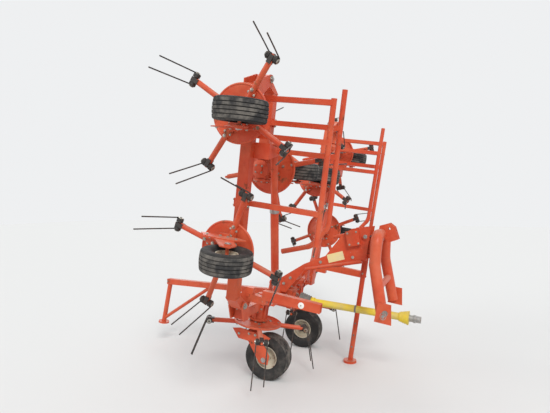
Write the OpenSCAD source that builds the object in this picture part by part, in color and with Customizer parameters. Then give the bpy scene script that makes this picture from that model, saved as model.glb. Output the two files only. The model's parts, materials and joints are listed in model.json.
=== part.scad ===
/* [Stance] */
// Nose-down tilt of the whole frame in degrees
nose_down = 8.5; // [4:0.5:11]
// Outward lean of a folded wing from upright in degrees
wing_lean = 4.5; // [0:0.5:9]

/* [Rotors] */
// Distance from one rotor axle to the next
pitch = 1000; // [960:10:1060]
// Diameter of a rotor disc over its rolled rim
disc_d = 440; // [380:10:480]
// Depth of a rotor disc below the beam's centre line
disc_drop = 175; // [168:1:185]
// Radius at which an arm carries its tine coils
arm_reach = 445; // [420:5:480]
// Diameter of a rotor arm's tube
arm_d = 42; // [34:1:46]
// Downward slope of the rotor arms in degrees
arm_slope = 2; // [1:0.5:4]
// Diameter of a tine's wire
tine_d = 10; // [8:0.5:12]
// Length of a tine's long leg
tine_len = 370; // [330:5:380]
// Outward lean of the tines from straight down in degrees
tine_lean = 16; // [10:1:24]
// How much shorter the second leg of a tine is
tine_step = 35; // [0:5:60]
// Gap between the two legs of a tine
tine_gap = 70; // [62:2:84]
// Rotor phase on the right half of the machine in degrees
phase = 61; // [54:1:66]

/* [Frame] */
// Outer size of the square beams
beam_w = 90; // [80:2:100]
// Distance from the middle to the wing's fold pin
fold_y = 990; // [970:5:1010]
// Height of the wing's fold pin above the beam's centre line
fold_z = 92; // [85:1:100]
// Distance from the middle rotor of a wing to the tip's fold pin
tip_ahead = 300; // [280:5:320]
// Height of the tip's fold pin above the beam's centre line
tip_z = 160; // [150:2:175]
// Diameter of the fold pins
pin_d = 32; // [26:1:38]

/* [Wheels] */
// Diameter of the two middle tyres
mid_tyre_d = 410; // [390:2:420]
// Width of the two middle tyres
mid_tyre_w = 165; // [150:1:170]
// Diameter of the six wing tyres
wing_tyre_d = 368; // [350:2:376]
// Width of the six wing tyres
wing_tyre_w = 150; // [140:1:160]
// Depth of the wheel axles below the beam's centre line
axle_drop = 460; // [455:1:475]
// Distance of the wheel axles ahead of the rotor axles
axle_ahead = 150; // [130:5:170]
// Diameter of the wheel axles
axle_d = 25; // [20:1:30]

/* [Headstock] */
// Distance of the headstock's swivel pin ahead of the beam
swivel_x = 830; // [810:5:850]
// Distance between the middles of the lower link pins
link_span = 825; // [780:5:870]
// Diameter of the lower link pins
link_pin_d = 28; // [22:0.5:36]
// Free length of the lower link pins
link_pin_len = 110; // [90:5:130]
// Diameter of the hole for the top link's pin
top_bore_d = 25.5; // [19:0.5:32]
// Height of the top link hole above the lower link pins
mast_h = 685; // [660:5:700]
// Diameter of the headstock's hoop tube
hoop_d = 100; // [90:2:110]

/* [Guards] */
// Distance of the guard rails ahead of the beam
rail_x = 620; // [600:5:640]
// Diameter of the guard rails
rail_d = 42; // [34:1:48]

/* [Shaft] */
// Bore of the drive shaft's free yoke
yoke_bore_d = 35; // [34:0.5:36]
// Diameter of the drive shaft's guard tube
guard_tube_d = 68; // [60:1:76]

/* [Hidden] */
$fn = 48;

RIGHT = -1;
LEFT = 1;
orange = "#d4442a";
dark = "#2b2b2b";
steel = "#6f6a63";

// Height of the beam's centre line above the floor, with the middle tyres on it
beam_z = mid_tyre_d / 2 + axle_ahead * sin(nose_down) + axle_drop * cos(nose_down);
// Distance that the main beam stands ahead of the middle of the whole machine
beam_x = 63.4;
tip_y = 2.5 * pitch + tip_ahead;
// Radial gap of every part that turns on a pin or a tube
spin_gap = 0.1;
axle_tube_d = 60;
elbow_lap = 6;
hub_bore_d = axle_tube_d + 2 * spin_gap;
hub_d = 112;
arm_root = 96;
arm_z = -disc_drop - 12;
plate_t = 8;
ear_t = 12;
ear_x = 60;

// Cylinder pins, in each wing's working position: ahead, outward, up
ram_x = 132;
base_pin_y = 550;
base_pin_z = 225;
wing_pin_y = 2.25 * pitch;
wing_pin_z = 205;
ram_pin_d = 25;
saddle_w = 86;

// Undersides of the two lugs that hold the swivel pin
lug_low = 550;
lug_high = 690;
barrel_d = 70;
barrel_len = 740;

function on_right(s) = s == RIGHT;

// A place on a wing after it folds, as distance outward and height
function folded(y, z) = [
    fold_y + (y - fold_y) * sin(wing_lean) - (z - fold_z) * cos(wing_lean),
    fold_z + (y - fold_y) * cos(wing_lean) + (z - fold_z) * sin(wing_lean)];

module stance() {
    translate([beam_x, 0, beam_z]) rotate([0, nose_down, 0]) children();
}

module half(s) {
    if (on_right(s)) mirror([0, 1, 0]) children();
    else children();
}

module middle_side(s) {
    stance() half(s) children();
}

module wing(s) {
    middle_side(s)
        translate([0, fold_y, fold_z])
        rotate([90 - wing_lean, 0, 0])
        translate([0, -fold_y, -fold_z]) children();
}

module tip(s) {
    wing(s)
        translate([0, tip_y, tip_z])
        rotate([180, 0, 0])
        translate([0, -tip_y, -tip_z]) children();
}

// Rotor and wheel places, counted outward from the middle of the machine
module station(s, k) {
    if (k == 0) middle_side(s) translate([0, pitch / 2, 0]) children();
    else if (k < 3) wing(s) translate([0, (k + 0.5) * pitch, 0]) children();
    else tip(s) translate([0, (k + 0.5) * pitch, 0]) children();
}

// A straight round bar from one point to another
module rod(a, b, d) {
    v = b - a;
    len = norm(v);
    translate(a)
        rotate([0, acos(v[2] / len), atan2(v[1], v[0])])
        cylinder(d = d, h = len);
}

function unit(v) = v / norm(v);

// Half of the length that a bend takes from each straight beside it
function bend_cut(a, b, c, bend) = bend * tan(acos(unit(b - a) * unit(c - b)) / 2);

// A round tube along a line of points, with a bent elbow at each inner point,
// a little wider than the tube so that the straights seat inside its ends
module bent_tube(points, d, bend) {
    last = len(points) - 1;
    for (i = [0 : last - 1]) {
        way = unit(points[i + 1] - points[i]);
        cut0 = i == 0 ? 0 : bend_cut(points[i - 1], points[i], points[i + 1], bend);
        cut1 = i == last - 1 ? 0 : bend_cut(points[i], points[i + 1], points[i + 2], bend);
        lap0 = i == 0 ? 0 : elbow_lap;
        lap1 = i == last - 1 ? 0 : elbow_lap;
        rod(points[i] + way * (cut0 - lap0), points[i + 1] - way * (cut1 - lap1), d);
    }
    for (i = [1 : last - 1]) {
        in = unit(points[i] - points[i - 1]);
        out = unit(points[i + 1] - points[i]);
        inward = unit(out - in * (in * out));
        cut = bend_cut(points[i - 1], points[i], points[i + 1], bend);
        c = points[i] - in * cut + inward * bend;
        z = cross(-inward, in);
        multmatrix([[-inward[0], in[0], z[0], c[0]], [-inward[1], in[1], z[1], c[1]],
            [-inward[2], in[2], z[2], c[2]]])
            rotate_extrude(angle = acos(in * out)) translate([bend, 0]) circle(d = d + 3);
    }
}

// A square tube along Y with rounded edges
module beam_tube(y0, y1, w) {
    r = w / 9;
    translate([0, y1, 0]) rotate([90, 0, 0]) linear_extrude(y1 - y0) {
        square([w - 2 * r, w], center = true);
        square([w, w - 2 * r], center = true);
        for (i = [-1, 1], j = [-1, 1]) translate([i * (w / 2 - r), j * (w / 2 - r)]) circle(r = r, $fn = 24);
    }
}

// A plate that stands along the machine, drawn ahead and up, centred on y
module side_plate(points, y, t) {
    translate([0, y + t / 2, 0]) rotate([90, 0, 0]) linear_extrude(t) polygon(points);
}

// A plate that stands across the machine, drawn outward and up, centred on x
module cross_plate(points, x, t) {
    translate([x - t / 2, 0, 0]) rotate([90, 0, 90]) linear_extrude(t) polygon(points);
}

// A gear housing round a beam with the fixed axle tube that carries the wheel leg
module housing() {
    translate([0, 0, -disc_drop + 26]) cylinder(d = 132, h = disc_drop - 26);
    translate([0, 0, -disc_drop + 26]) cylinder(d = 168, h = 16);
    cylinder(d = 150, h = 62);
    translate([0, 0, 62]) cylinder(d1 = 150, d2 = 84, h = 20);
    translate([0, 0, 82]) cylinder(d = 60, h = 12);
    for (i = [-1, 1]) translate([0, i * 92, 0]) rotate([90, 0, 0]) cylinder(d = beam_w + 52, h = 16, center = true);
    for (a = [0 : 60 : 300]) rotate([0, 0, a + 30])
        translate([60, -5, -disc_drop + 40]) cube([22, 10, disc_drop - 44]);
    translate([0, 0, -248]) cylinder(d = axle_tube_d, h = 150);
}

// The leg and side plate that carry a wheel beside its tyre
module wheel_leg(k, tyre_w) {
    side = k == 2 ? -1 : 1;
    y = tyre_w / 2 + 26;
    translate([-40, side > 0 ? -32 : -y - 30, -248]) cube([80, y + 62, 14]);
    translate([0, side * y, 0]) {
        side_plate([[-52, -248], [60, -236], [axle_ahead + 46, -axle_drop + 42],
            [axle_ahead + 40, -axle_drop - 40], [axle_ahead - 40, -axle_drop - 40], [-52, -300]], 0, plate_t);
        side_plate([[-190, -252], [-120, -234], [120, -234], [188, -256], [120, -330], [-120, -330]],
            side * plate_t, plate_t);
    }
    translate([axle_ahead, side * (y + 14), -axle_drop]) rotate([90 * side, 0, 0])
        cylinder(d = axle_d, h = y + 14 + tyre_w * 0.42);
    translate([axle_ahead, side * (y + 4), -axle_drop]) rotate([90, 0, 0]) cylinder(d = 52, h = 26, center = true);
}

module tine_set() {
    for (i = [-1, 1]) {
        leg = tine_len - (i < 0 ? tine_step : 0);
        translate([0, i * tine_gap / 2, 0]) {
            rotate([90, 0, 0]) cylinder(d = 56, h = 34, center = true);
            translate([23, 0, -4]) rotate([0, 180 - tine_lean, -i * 2]) cylinder(d = tine_d, h = leg, $fn = 16);
        }
    }
    rotate([90, 0, 0]) cylinder(d = 22, h = tine_gap + 48, center = true);
}

// One rotor: hub, dished disc with rolled rim, four arms and their double tines
module rotor_body(start, bare) {
    difference() {
        union() {
            translate([0, 0, -disc_drop - 18]) cylinder(d = hub_d, h = 36);
            rotate_extrude($fn = 64) polygon([[40, -disc_drop + 6], [118, -disc_drop + 6], [150, -disc_drop - 6],
                [disc_d / 2 - 8, -disc_drop - 6], [disc_d / 2 - 8, -disc_drop], [152, -disc_drop],
                [120, -disc_drop + 13], [40, -disc_drop + 13]]);
            rotate_extrude($fn = 64) translate([disc_d / 2 - 10, -disc_drop]) circle(d = 20, $fn = 16);
            for (k = [0 : 3]) rotate([0, 0, start + 90 * k]) {
                translate([arm_root, 0, arm_z]) rotate([0, 90 + arm_slope, 0])
                    cylinder(d = arm_d, h = (arm_reach - arm_root) / cos(arm_slope));
                translate([arm_root - 20, -34, arm_z - 4]) cube([110, 68, 22]);
            }
        }
        translate([0, 0, -disc_drop - 60]) cylinder(d = hub_bore_d, h = 120);
    }
    for (k = [0 : 3]) rotate([0, 0, start + 90 * k])
        translate([arm_reach, 0, arm_z - (arm_reach - arm_root) * tan(arm_slope)]) {
            translate([-30, -9, -16]) cube([54, 18, 32]);
            if (k != bare) tine_set();
        }
}

module rotor_at(s, k, start, bare = -1) {
    color(orange) station(s, k) rotor_body(start, bare);
}

// Outer diameter, width and rim radius of the tyre at a station
function tyre_size(k) = k == 0 ? [mid_tyre_d, mid_tyre_w, 102] : [wing_tyre_d, wing_tyre_w, 80];

module wheel_place(s, k) {
    station(s, k) translate([axle_ahead, 0, -axle_drop]) rotate([90, 0, 0]) children();
}

module tyre_at(s, k) {
    size = tyre_size(k);
    r = size[0] / 2;
    h = size[1] / 2;
    rim_r = size[2];
    color(dark) wheel_place(s, k) rotate_extrude($fn = 48) polygon([
        [rim_r, -h * 0.72], [rim_r + 26, -h * 0.96], [r - 26, -h], [r - 4, -h * 0.8],
        [r, 0], [r - 4, h * 0.8], [r - 26, h], [rim_r + 26, h * 0.96], [rim_r, h * 0.72]]);
}

module rim_at(s, k) {
    size = tyre_size(k);
    h = size[1] / 2;
    rim_r = size[2] - 0.2;
    color("#b9ad96") wheel_place(s, k) rotate_extrude($fn = 48) polygon([
        [axle_d / 2 + spin_gap, -h * 0.42], [30, -h * 0.42], [34, -10], [rim_r - 30, -14], [rim_r - 8, -h * 0.5],
        [rim_r - 8, -h * 0.7], [rim_r, -h * 0.7], [rim_r, h * 0.7], [rim_r - 8, h * 0.7],
        [rim_r - 8, h * 0.1], [rim_r - 26, -6], [34, -2], [30, h * 0.42], [axle_d / 2 + spin_gap, h * 0.42]]);
}

// Two ears that hold a fold pin, with the pin through them
module fold_ears(y, z, y_back, low) {
    for (i = [-1, 1])
        cross_plate([[y_back, low], [y_back, 34], [y - 34, z + 20], [y - 16, z + 34], [y + 16, z + 34],
            [y + 34, z + 16], [y + 34, z - 18], [y - 28, low]], i * ear_x, ear_t);
    translate([-ear_x - ear_t / 2, y_back, low]) cube([2 * ear_x + ear_t, 40, beam_w]);
    translate([-ear_x - 22, y, z]) rotate([0, 90, 0]) cylinder(d = pin_d, h = 2 * ear_x + 44);
}

// The knuckle of the folding piece, between the ears and bored for the pin
module fold_knuckle(y, z, y_on) {
    w = 2 * (ear_x - ear_t / 2 - 5);
    difference() {
        union() {
            translate([-w / 2, y, z]) rotate([0, 90, 0]) cylinder(d = pin_d + 36, h = w);
            cross_plate([[y - 10, z - 36], [y_on, -beam_w / 2], [y_on, beam_w / 2], [y + 30, z + 30],
                [y - 5, z + 30]], 0, w);
        }
        translate([-w, y, z]) rotate([0, 90, 0]) cylinder(d = pin_d + 2 * spin_gap, h = 2 * w);
    }
}

module main_beam() {
    color(orange) stance() {
        beam_tube(-fold_y + 60, fold_y - 60, beam_w);
        for (s = [RIGHT, LEFT]) half(s) {
            fold_ears(fold_y, fold_z, fold_y - 110, -beam_w / 2);
            translate([0, pitch / 2, 0]) {
                housing();
                wheel_leg(0, mid_tyre_w);
            }
            for (i = [-1, 1]) cross_plate([[base_pin_y - 60, 40], [base_pin_y - 26, base_pin_z + 26],
                [base_pin_y + 26, base_pin_z + 26], [base_pin_y + 60, 40]], ram_x + i * 34, 10);
            translate([ram_x - 50, base_pin_y, base_pin_z]) rotate([0, 90, 0]) cylinder(d = ram_pin_d, h = 100);
            translate([30, base_pin_y - 60, 30]) cube([ram_x + 9, 120, 14]);
        }
    }
}

module guard_arms() {
    saddle_x = ram_x - saddle_w / 2;
    color(orange) stance() for (s = [RIGHT, LEFT]) half(s) translate([0, fold_y - 100, 0]) {
        translate([0, 0, 195]) rotate([0, 90, 0]) difference() {
            translate([-37, -30, 30]) cube([74, 60, 640]);
            translate([-32, -25, 520]) cube([64, 50, 200]);
            translate([-40, -31, saddle_x]) cube([57, 62, saddle_w]);
        }
        translate([ram_x - 80, -30, 118]) cube([160, 60, 44]);
        side_plate([[-40, beam_w / 2], [-30, 160], [30, 232], [saddle_x - 5, 232], [saddle_x - 5, 158],
            [44, beam_w / 2]], 0, 24);
    }
}

module beam_room() {
    cube([beam_w, 2 * fold_y, beam_w], center = true);
}

module draft_frame() {
    end_x = swivel_x - 5;
    color(orange) stance() {
        for (i = [-1, 1]) {
            side_plate([[-45, beam_w / 2], [-50, 120], [240, 365], [437, 480], [577, 720], [655, 785],
                [end_x, 830], [end_x, 512], [783, 497], [595, 407], [257, 317], [90, beam_w / 2]], i * 105, 12);
            rod([262, i * 118, 318], [790, i * 118, 498], 34);
            translate([790, i * 112, 733]) rotate([90, 0, 0]) cylinder(d = 62, h = 22, center = true);
        }
        translate([170, -99, 180]) rotate([0, -36, 0]) cube([12, 198, 90]);
        translate([500, -99, 392]) rotate([0, -30, 0]) cube([12, 198, 110]);
        translate([600, -99, 735]) rotate([0, -15, 0]) cube([165, 198, 10]);
        translate([swivel_x - 76, -99, 520]) cube([12, 198, 275]);
        for (z = [lug_low, lug_high]) translate([0, 0, z]) {
            translate([swivel_x, 0, 0]) cylinder(d = 116, h = 24);
            translate([swivel_x - 70, -58, 0]) cube([70, 116, 24]);
        }
        translate([swivel_x, 0, lug_low - 15]) cylinder(d = 50, h = lug_high - lug_low + 54);
        translate([650, -150, 613]) rotate([0, -19.5, 0]) cube([120, 300, 143]);
    }
}

module gearbox() {
    color(orange) stance() difference() {
        union() {
            translate([-75, -85, -110]) cube([150, 170, 80]);
            translate([40, -85, -110]) cube([110, 170, 180]);
            translate([140, 0, -20]) rotate([0, 90, 0]) cylinder(d = 130, h = 36);
            translate([176, 0, -20]) rotate([0, 90, 0]) cylinder(d = 40, h = 48.5);
            translate([100, 0, 60]) cylinder(d = 60, h = 30);
        }
        beam_room();
    }
}

module drive_shaft() {
    start = [226, 0, -20];
    end = [1380, 0, 60];
    tilt = atan2(end[2] - start[2], end[0] - start[0]);
    color("#d9b400") stance() translate(start) rotate([0, 90 - tilt, 0]) {
        cylinder(d1 = 150, d2 = 96, h = 110);
        translate([0, 0, 110]) cylinder(d = guard_tube_d, h = 880);
        translate([0, 0, 960]) cylinder(d1 = 84, d2 = 130, h = 90);
        difference() {
            translate([0, 0, 1040]) cylinder(d = 62, h = 115);
            translate([0, 0, 1060]) cylinder(d = yoke_bore_d, h = 120);
        }
    }
}

// The floor's height in the frame's own tilted axes, at a distance ahead of the beam
function floor_at(x) = (x * sin(nose_down) - beam_z) / cos(nose_down);

module front_jack() {
    x = 770;
    y = 190;
    color(orange) stance() {
        translate([x - 40, 111, 524]) cube([80, 60, 64]);
        translate([x, y, 300]) cylinder(d = 60, h = 300);
        translate([x, y, floor_at(x) + 10]) cylinder(d = 48, h = 310 - floor_at(x));
        translate([x, y, 0]) translate([0, 0, floor_at(x)]) rotate([0, -nose_down, 0])
            cylinder(d = 130, h = 24);
    }
}

module rear_stand() {
    color(orange) stance() {
        difference() {
            translate([-1360, -30, -205]) rotate([0, -7.5, 0]) cube([1360, 60, 60]);
            beam_room();
            translate([-75.5, -86, -110]) cube([150, 172, 80.5]);
        }
        rod([-1335, 0, -170], [-1360, 0, -640], 50);
        translate([-1360, 0, -655]) cylinder(d = 120, h = 15);
        rod([-1352, 0, -600], [-800, 0, -110], 36);
    }
}

// Bends of the hoop from its foot to its top corner, and the seam between them
hoop_top = 150 + mast_h - 60;
hoop_foot = [1072, link_span / 2 - 62, 110];
hoop_knee = [940, 305, 520];
hoop_corner = [swivel_x + 85, 275, hoop_top];
hoop_seam = (hoop_knee + hoop_corner) / 2;

function across(p) = [p[0], -p[1], p[2]];

module headstock() {
    tube_z = lug_low + 30;
    tube_h = lug_high - lug_low - 36;
    color(orange) stance() {
        difference() {
            union() {
                translate([swivel_x, 0, tube_z]) cylinder(d = 116, h = tube_h);
                translate([swivel_x, -70, tube_z + 12]) cube([100, 140, tube_h - 24]);
                cross_plate([[-70, tube_z], [-70, tube_z + 120], [-200, hoop_top], [200, hoop_top],
                    [70, tube_z + 120], [70, tube_z]], swivel_x + 90, 20);
            }
            translate([swivel_x, 0, 400]) cylinder(d = 50 + 2 * spin_gap, h = 500);
        }
        bent_tube([across(hoop_seam), across(hoop_corner), hoop_corner, hoop_seam], hoop_d, 95);
        for (i = [-1, 1]) difference() {
            side_plate([[swivel_x + 60, hoop_top], [swivel_x + 62, hoop_top + 75],
                [swivel_x + 150, hoop_top + 115], [swivel_x + 200, hoop_top + 85],
                [swivel_x + 250, hoop_top - 20], [swivel_x + 170, hoop_top - 63]], i * 40, 16);
            translate([swivel_x + 150, 0, 150 + mast_h]) rotate([90, 0, 0])
                cylinder(d = top_bore_d, h = 200, center = true);
        }
    }
}

module hoop_legs() {
    link_y = link_span / 2 - 8;
    color(orange) stance() {
        bent_tube([hoop_foot, hoop_knee, hoop_seam], hoop_d, 95);
        bent_tube([across(hoop_foot), across(hoop_knee), across(hoop_seam)], hoop_d, 95);
        for (i = [-1, 1]) {
            side_plate([[1020, 60], [1030, 230], [1140, 230], [1165, 60]], i * link_y, 16);
            translate([1100, i * link_y, 150]) rotate([-90 * i, 0, 0])
                cylinder(d = link_pin_d, h = link_pin_len + 8);
        }
        rod([1001, -330, 330], [1001, 330, 330], 60);
    }
}

module wing_beam_at(s) {
    color(orange) wing(s) {
        beam_tube(fold_y + 76, tip_y - 60, beam_w);
        fold_knuckle(fold_y, fold_z, fold_y + 90);
        fold_ears(tip_y, tip_z, tip_y - 130, -beam_w / 2);
        for (k = [1, 2]) translate([0, (k + 0.5) * pitch, 0]) {
            housing();
            wheel_leg(k, wing_tyre_w);
        }
        for (i = [-1, 1]) {
            cross_plate([[wing_pin_y - 60, 20], [wing_pin_y - 26, wing_pin_z + 20],
                [wing_pin_y + 26, wing_pin_z + 20], [wing_pin_y + 60, 20]], ram_x + i * 34, 10);
            translate([ram_x + i * 46, wing_pin_y, wing_pin_z]) rotate([0, 90, 0])
                cylinder(d = ram_pin_d, h = 14, center = true);
        }
        translate([30, wing_pin_y - 60, 20]) cube([ram_x + 9, 120, 14]);
    }
}

module wing_guard_at(s) {
    color(orange) wing(s) {
        rod([rail_x, 1600, 30], [rail_x, 2670, 30], rail_d);
        for (y = [1840, 2360, 2640]) {
            translate([beam_w / 2, y - 20, 8]) cube([rail_x - beam_w / 2, 40, 44]);
        }
    }
}

module tip_beam_at(s) {
    color(orange) tip(s) {
        beam_tube(tip_y + 76, 3.5 * pitch + 120, beam_w);
        fold_knuckle(tip_y, tip_z, tip_y + 90);
        translate([0, 3.5 * pitch, 0]) {
            housing();
            wheel_leg(3, wing_tyre_w);
        }
    }
}

module tip_guard_at(s) {
    color(orange) tip(s) {
        bent_tube([[rail_x, tip_y + 30, 30], [rail_x, 3890, 30], [500, 4060, 30], [260, 4150, 30]], rail_d, 110);
        for (y = [3120, 3340]) translate([beam_w / 2, y - 20, 8]) cube([rail_x - beam_w / 2, 40, 44]);
    }
}

// Folded line of a cylinder: its pins, its length and its slope
base_pin = [base_pin_y, base_pin_z];
end_pin = folded(wing_pin_y, wing_pin_z);
ram_line = end_pin - base_pin;
ram_len = norm(ram_line);
ram_slope = atan2(ram_line[1], ram_line[0]);

module along_ram(s) {
    middle_side(s) translate([ram_x, base_pin_y, base_pin_z]) rotate([ram_slope - 90, 0, 0]) children();
}

module barrel_at(s) {
    color(orange) along_ram(s) difference() {
        union() {
            rotate([0, 90, 0]) cylinder(d = 54, h = 44, center = true);
            translate([0, 0, 20]) cylinder(d = 40, h = 40);
            translate([0, 0, 50]) cylinder(d = barrel_d, h = barrel_len - 50);
        }
        rotate([0, 90, 0]) cylinder(d = ram_pin_d + 2 * spin_gap, h = 80, center = true);
        translate([0, 0, 80]) cylinder(d = 56, h = barrel_len - 100);
        translate([0, 0, 80]) cylinder(d = 41, h = barrel_len);
    }
}

module ram_at(s) {
    color(steel) along_ram(s) {
        translate([0, 0, ram_len]) rotate([0, 90, 0]) cylinder(d = 54, h = 44, center = true);
        translate([0, 0, ram_len]) rotate([0, 90, 0]) cylinder(d = ram_pin_d, h = 54, center = true);
        translate([0, 0, barrel_len + 30]) cylinder(d = 58, h = ram_len - barrel_len - 50);
        translate([0, 0, 100]) cylinder(d = 40, h = ram_len - 140);
    }
}

// Phases that keep neighbouring rotors 45 degrees apart where their tines cross
phase_in = phase;
phase_out = -45 - phase;

main_beam();
draft_frame();
gearbox();
guard_arms();
front_jack();
rear_stand();
drive_shaft();
headstock();
hoop_legs();
wing_beam_at(RIGHT);  // wing_beam_r
wing_beam_at(LEFT);  // wing_beam_l
wing_guard_at(RIGHT);  // wing_guard_r
wing_guard_at(LEFT);  // wing_guard_l
tip_beam_at(RIGHT);  // tip_beam_r
tip_beam_at(LEFT);  // tip_beam_l
tip_guard_at(RIGHT);  // tip_guard_r
tip_guard_at(LEFT);  // tip_guard_l
barrel_at(RIGHT);  // barrel_r
barrel_at(LEFT);  // barrel_l
ram_at(RIGHT);  // ram_r
ram_at(LEFT);  // ram_l
rotor_at(RIGHT, 0, phase_in);  // rotor_r0
rotor_at(RIGHT, 1, phase_out);  // rotor_r1
rotor_at(RIGHT, 2, phase_in);  // rotor_r2
rotor_at(RIGHT, 3, phase_out, 3);  // rotor_r3
rotor_at(LEFT, 0, phase_in + 45);  // rotor_l0
rotor_at(LEFT, 1, phase_out - 45);  // rotor_l1
rotor_at(LEFT, 2, phase_in + 45, 1);  // rotor_l2
rotor_at(LEFT, 3, phase_out - 45);  // rotor_l3
tyre_at(RIGHT, 0);  // tyre_r0
tyre_at(RIGHT, 1);  // tyre_r1
tyre_at(RIGHT, 2);  // tyre_r2
tyre_at(RIGHT, 3);  // tyre_r3
tyre_at(LEFT, 0);  // tyre_l0
tyre_at(LEFT, 1);  // tyre_l1
tyre_at(LEFT, 2);  // tyre_l2
tyre_at(LEFT, 3);  // tyre_l3
rim_at(RIGHT, 0);  // rim_r0
rim_at(RIGHT, 1);  // rim_r1
rim_at(RIGHT, 2);  // rim_r2
rim_at(RIGHT, 3);  // rim_r3
rim_at(LEFT, 0);  // rim_l0
rim_at(LEFT, 1);  // rim_l1
rim_at(LEFT, 2);  // rim_l2
rim_at(LEFT, 3);  // rim_l3
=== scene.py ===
"""Looks for a mounted rotary hay tedder, parked with its wings folded up, on a plain stage."""
import json
import math

import bpy
from mathutils import Matrix, Vector

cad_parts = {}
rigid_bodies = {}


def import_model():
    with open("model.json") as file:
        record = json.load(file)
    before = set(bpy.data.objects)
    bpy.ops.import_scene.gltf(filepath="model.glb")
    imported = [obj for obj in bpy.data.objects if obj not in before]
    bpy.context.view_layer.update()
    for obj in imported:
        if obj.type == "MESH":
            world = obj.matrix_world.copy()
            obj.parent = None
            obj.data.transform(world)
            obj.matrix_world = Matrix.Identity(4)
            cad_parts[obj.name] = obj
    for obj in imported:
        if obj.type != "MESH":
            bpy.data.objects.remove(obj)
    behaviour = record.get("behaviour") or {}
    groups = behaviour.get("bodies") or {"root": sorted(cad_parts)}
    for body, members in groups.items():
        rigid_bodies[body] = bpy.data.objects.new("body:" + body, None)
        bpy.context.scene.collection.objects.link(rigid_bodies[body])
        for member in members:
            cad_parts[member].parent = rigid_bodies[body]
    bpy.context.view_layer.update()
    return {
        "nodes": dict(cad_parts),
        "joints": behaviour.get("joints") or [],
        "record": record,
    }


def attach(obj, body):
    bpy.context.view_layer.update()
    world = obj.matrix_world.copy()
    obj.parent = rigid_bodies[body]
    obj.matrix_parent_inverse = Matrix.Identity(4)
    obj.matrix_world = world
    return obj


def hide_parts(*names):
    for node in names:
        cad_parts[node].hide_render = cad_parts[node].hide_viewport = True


bl_info = {
    "name": "Hay Tedder Looks",
    "version": (1, 0, 0),
    "blender": (4, 5, 0),
    "location": "View3D > Sidebar > Hay Tedder",
    "description": "Finishes, tyres, tines, fasteners and stage for a folded rotary hay tedder",
    "category": "Object",
}

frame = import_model()
JOINTS = {joint["name"]: joint for joint in frame["joints"]}
SIDES = {"r": -1, "l": 1}
STATIONS = [side + str(k) for side in SIDES for k in range(4)]

# Driving sizes of the machine, in metres and degrees
NOSE_DOWN = math.radians(8.5)
PITCH = 1.0
PHASE = 61
PHASE_STEP = 45
DISC_D = 0.44
DISC_DROP = 0.175
ARM_REACH = 0.445
ARM_D = 0.042
ARM_ROOT = 0.096
ARM_SLOPE = math.radians(2)
TINE_D = 0.010
TINE_LEN = 0.37
TINE_LEAN = math.radians(16)
TINE_STEP = 0.035
TINE_GAP = 0.07
BARE_ARMS = {"r3": 3, "l2": 1}
BEAM_W = 0.09
BEAM_X = 0.0634
AXLE_AHEAD = 0.15
AXLE_DROP = 0.46
LEG_GAP = 0.026
LEG_T = 0.008
# Outer diameter, width and rim radius of the tyres
MID_TYRE = (0.41, 0.165, 0.102)
WING_TYRE = (0.368, 0.15, 0.08)
# Fold pins: distance outward and height, the tip's counted from the wing's outer rotor
FOLD_PIN = (0.99, 0.092)
TIP_PIN = (0.3, 0.16)
PIN_R = 0.016
KNUCKLE_R = PIN_R + 0.018
EAR_FACE = 0.066
# Fold cylinders
BARREL_R = 0.035
BARREL_LEN = 0.74
ROD_R = 0.020
TIE_TUBE_AT = BARREL_LEN + 0.030
# Lower link pins: distance ahead and height, span between their middles
LINK_PIN = (1.1, 0.15)
LINK_SPAN = 0.825
# Guard arms by rotor, as places along the beam outward from that rotor
GUARD_ARMS_AT = {1: (0.34,), 2: (-0.14, 0.14), 3: (-0.38, -0.16)}
# Drive shaft: where its guard starts and where its line ends, and heights along it
SHAFT_FOOT = Vector((0.226, 0, -0.020))
SHAFT_END = Vector((1.38, 0, 0.06))
BELL_LEN = 0.110
CONE_AT = 0.960
CONE_LEN = 0.090
YOKE_BORE_R = 0.0175
# Play within which a place counts as lying on a face
NEAR = 0.0005

AHEAD = Vector((math.cos(NOSE_DOWN), 0, -math.sin(NOSE_DOWN)))
UP = Vector((math.sin(NOSE_DOWN), 0, math.cos(NOSE_DOWN)))
BEAM_Z = MID_TYRE[0] / 2 + AXLE_AHEAD * math.sin(NOSE_DOWN) + AXLE_DROP * math.cos(NOSE_DOWN)


def columns(x, y, z, origin):
    """A placing matrix from three directions and an origin."""
    made = Matrix.Identity(4)
    for i, direction in enumerate((x, y, z, origin)):
        made.col[i][:3] = direction
    return made


MACHINE = columns(AHEAD, Vector((0, 1, 0)), UP, Vector((BEAM_X, 0, BEAM_Z)))


def leaning(x, y, z, lean):
    """A place in the machine's frame, with its x axis raised by an angle."""
    return MACHINE @ Matrix.Translation((x, y, z)) @ Matrix.Rotation(-lean, 4, "Y")


SHAFT_SLOPE = math.atan2(SHAFT_END.z - SHAFT_FOOT.z, SHAFT_END.x - SHAFT_FOOT.x)
SHAFT = leaning(*SHAFT_FOOT, SHAFT_SLOPE - math.pi / 2)


def station(name):
    """The frame of a rotor's place: ahead, outward along the beam, and up as it works."""
    joint = JOINTS["rotor_spin_" + name]
    up = Vector(joint["axis"])
    outward = SIDES[name[0]] * up.cross(AHEAD)
    return columns(AHEAD, outward, up, Vector(joint["pos_m"]) + up * DISC_DROP)


def cylinder_place(tag):
    """The frame of a fold cylinder: z runs from its base pin to its rod's eye."""
    along = Vector(JOINTS["ram_slide_" + tag]["axis"])
    return columns(AHEAD, along.cross(AHEAD), along, Vector(JOINTS["barrel_swing_" + tag]["pos_m"]))


def parent_body(name):
    """The body that carries a rotor's housing and wheel leg."""
    return JOINTS["rotor_spin_" + name]["parent"]


def tyre_size(name):
    """Outer diameter, width and rim radius of a rotor's tyre."""
    return MID_TYRE if name[1] == "0" else WING_TYRE


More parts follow.
